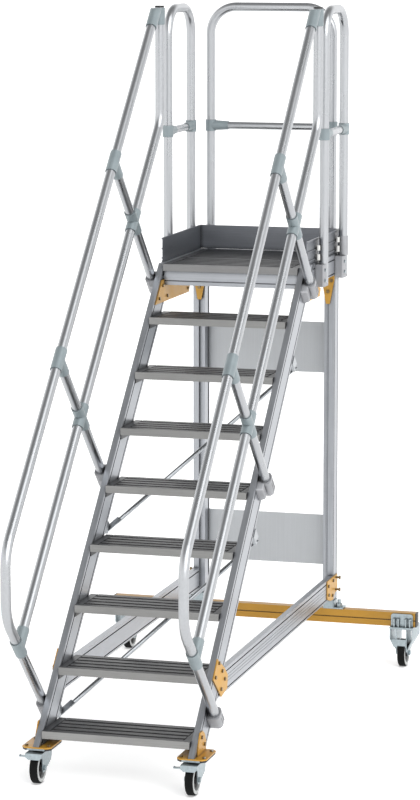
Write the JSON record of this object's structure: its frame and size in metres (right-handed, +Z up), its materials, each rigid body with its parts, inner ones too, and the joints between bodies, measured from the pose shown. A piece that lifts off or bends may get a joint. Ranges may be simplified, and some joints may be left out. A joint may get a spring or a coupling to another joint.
{
  "type": "rolling warehouse ladder",
  "caption": "Mobile platform stair with ribbed aluminium treads, double handrails, railed platform, swivel casters in front and a wide castored beam behind",
  "frame": {"origin": "bottom centre of the whole ladder: on the floor, midway between its sides and midway between its front and rear ends", "axes": "+Z up, +X to the climber's right, +Y from the foot of the stair towards the platform"},
  "size_m": [1.434, 2.6589, 2.984],
  "materials": {
    "extrusion": "natural anodised extrusion",
    "tube": "smooth drawn tube",
    "tread": "ribbed extrusion, dull",
    "bracket": "mill finish",
    "toe_board": "natural anodised extrusion",
    "panel": "plain sheet",
    "connector": "fine grain moulding",
    "casting": "die cast, matt",
    "brace": "smooth rod",
    "gold_paint": "golden yellow coating, satin",
    "zinc": "bright zinc plate",
    "bolt": "zinc plate",
    "black_plastic": "moulded",
    "light_plastic": "moulded",
    "tyre": "solid rubber",
    "rim": "moulded wheel centre"
  },
  "bodies": {
    "frame": {"base_rail_left": "extrusion", "base_rail_right": "extrusion", "beam_brackets": "zinc", "caster_pads": "black_plastic", "caster_top_plates": "zinc", "deck_planks": "tread", "diagonal_braces": "brace", "end_caps": "black_plastic", "foot_brackets": "gold_paint", "frame_bolts": "bolt", "guard_rail_clamps": "casting", "guard_rail_left": "tube", "guard_rail_rear": "tube", "guard_rail_right": "tube", "gusset_plates": "gold_paint", "handrail_connectors": "connector", "handrail_left": "tube", "handrail_right": "tube", "handrail_struts": "tube", "knee_rail_connectors": "connector", "knee_rails": "tube", "mid_rail_left": "tube", "mid_rail_right": "tube", "plank_end_brackets": "bracket", "platform_front_beam": "extrusion", "platform_rear_beam": "extrusion", "platform_side_beam_left": "extrusion", "platform_side_beam_right": "extrusion", "post_spacers": "light_plastic", "rear_beam": "gold_paint", "rear_caster_forks": "zinc", "rear_leg_left": "extrusion", "rear_leg_right": "extrusion", "rear_panels": "panel", "stringer_left": "extrusion", "stringer_right": "extrusion", "strut_feet": "casting", "toe_board_left": "toe_board", "toe_board_rear": "toe_board", "toe_board_right": "toe_board", "tread_1": "tread", "tread_2": "tread", "tread_3": "tread", "tread_4": "tread", "tread_5": "tread", "tread_6": "tread", "tread_7": "tread", "tread_8": "tread"},
    "front_swivel_left": {"front_fork_left": "zinc"},
    "front_wheel_left": {"front_rim_left": "rim", "front_tyre_left": "tyre"},
    "rear_wheel_left": {"rear_rim_left": "rim", "rear_tyre_left": "tyre"},
    "brake_left": {"brake_lever_left": "zinc"},
    "front_swivel_right": {"front_fork_right": "zinc"},
    "front_wheel_right": {"front_rim_right": "rim", "front_tyre_right": "tyre"},
    "rear_wheel_right": {"rear_rim_right": "rim", "rear_tyre_right": "tyre"},
    "brake_right": {"brake_lever_right": "zinc"}
  },
  "joints": [
    {"name": "front_swivel_left", "type": "hinge", "parent": "frame", "child": "front_swivel_left", "pos_m": [-0.3165, -1.0085, 0.129], "axis": [0, 0, 1], "continuous": true},
    {"name": "front_wheel_left_spin", "type": "hinge", "parent": "front_swivel_left", "child": "front_wheel_left", "pos_m": [-0.3165, -1.0585, 0.0625], "axis": [1, 0, 0], "continuous": true},
    {"name": "brake_lever_left_press", "type": "hinge", "parent": "front_swivel_left", "child": "brake_left", "pos_m": [-0.3565, -1.0465, 0.1], "axis": [0, 1, 0], "range_deg": [-16, 0]},
    {"name": "rear_wheel_left_spin", "type": "hinge", "parent": "frame", "child": "rear_wheel_left", "pos_m": [-0.651, 1.2205, 0.0625], "axis": [1, 0, 0], "continuous": true},
    {"name": "front_swivel_right", "type": "hinge", "parent": "frame", "child": "front_swivel_right", "pos_m": [0.3165, -1.0085, 0.129], "axis": [0, 0, 1], "continuous": true},
    {"name": "front_wheel_right_spin", "type": "hinge", "parent": "front_swivel_right", "child": "front_wheel_right", "pos_m": [0.3165, -1.0585, 0.0625], "axis": [1, 0, 0], "continuous": true},
    {"name": "brake_lever_right_press", "type": "hinge", "parent": "front_swivel_right", "child": "brake_right", "pos_m": [0.2765, -1.0465, 0.1], "axis": [0, 1, 0], "range_deg": [-16, 0]},
    {"name": "rear_wheel_right_spin", "type": "hinge", "parent": "frame", "child": "rear_wheel_right", "pos_m": [0.651, 1.2205, 0.0625], "axis": [1, 0, 0], "continuous": true}
  ]
}
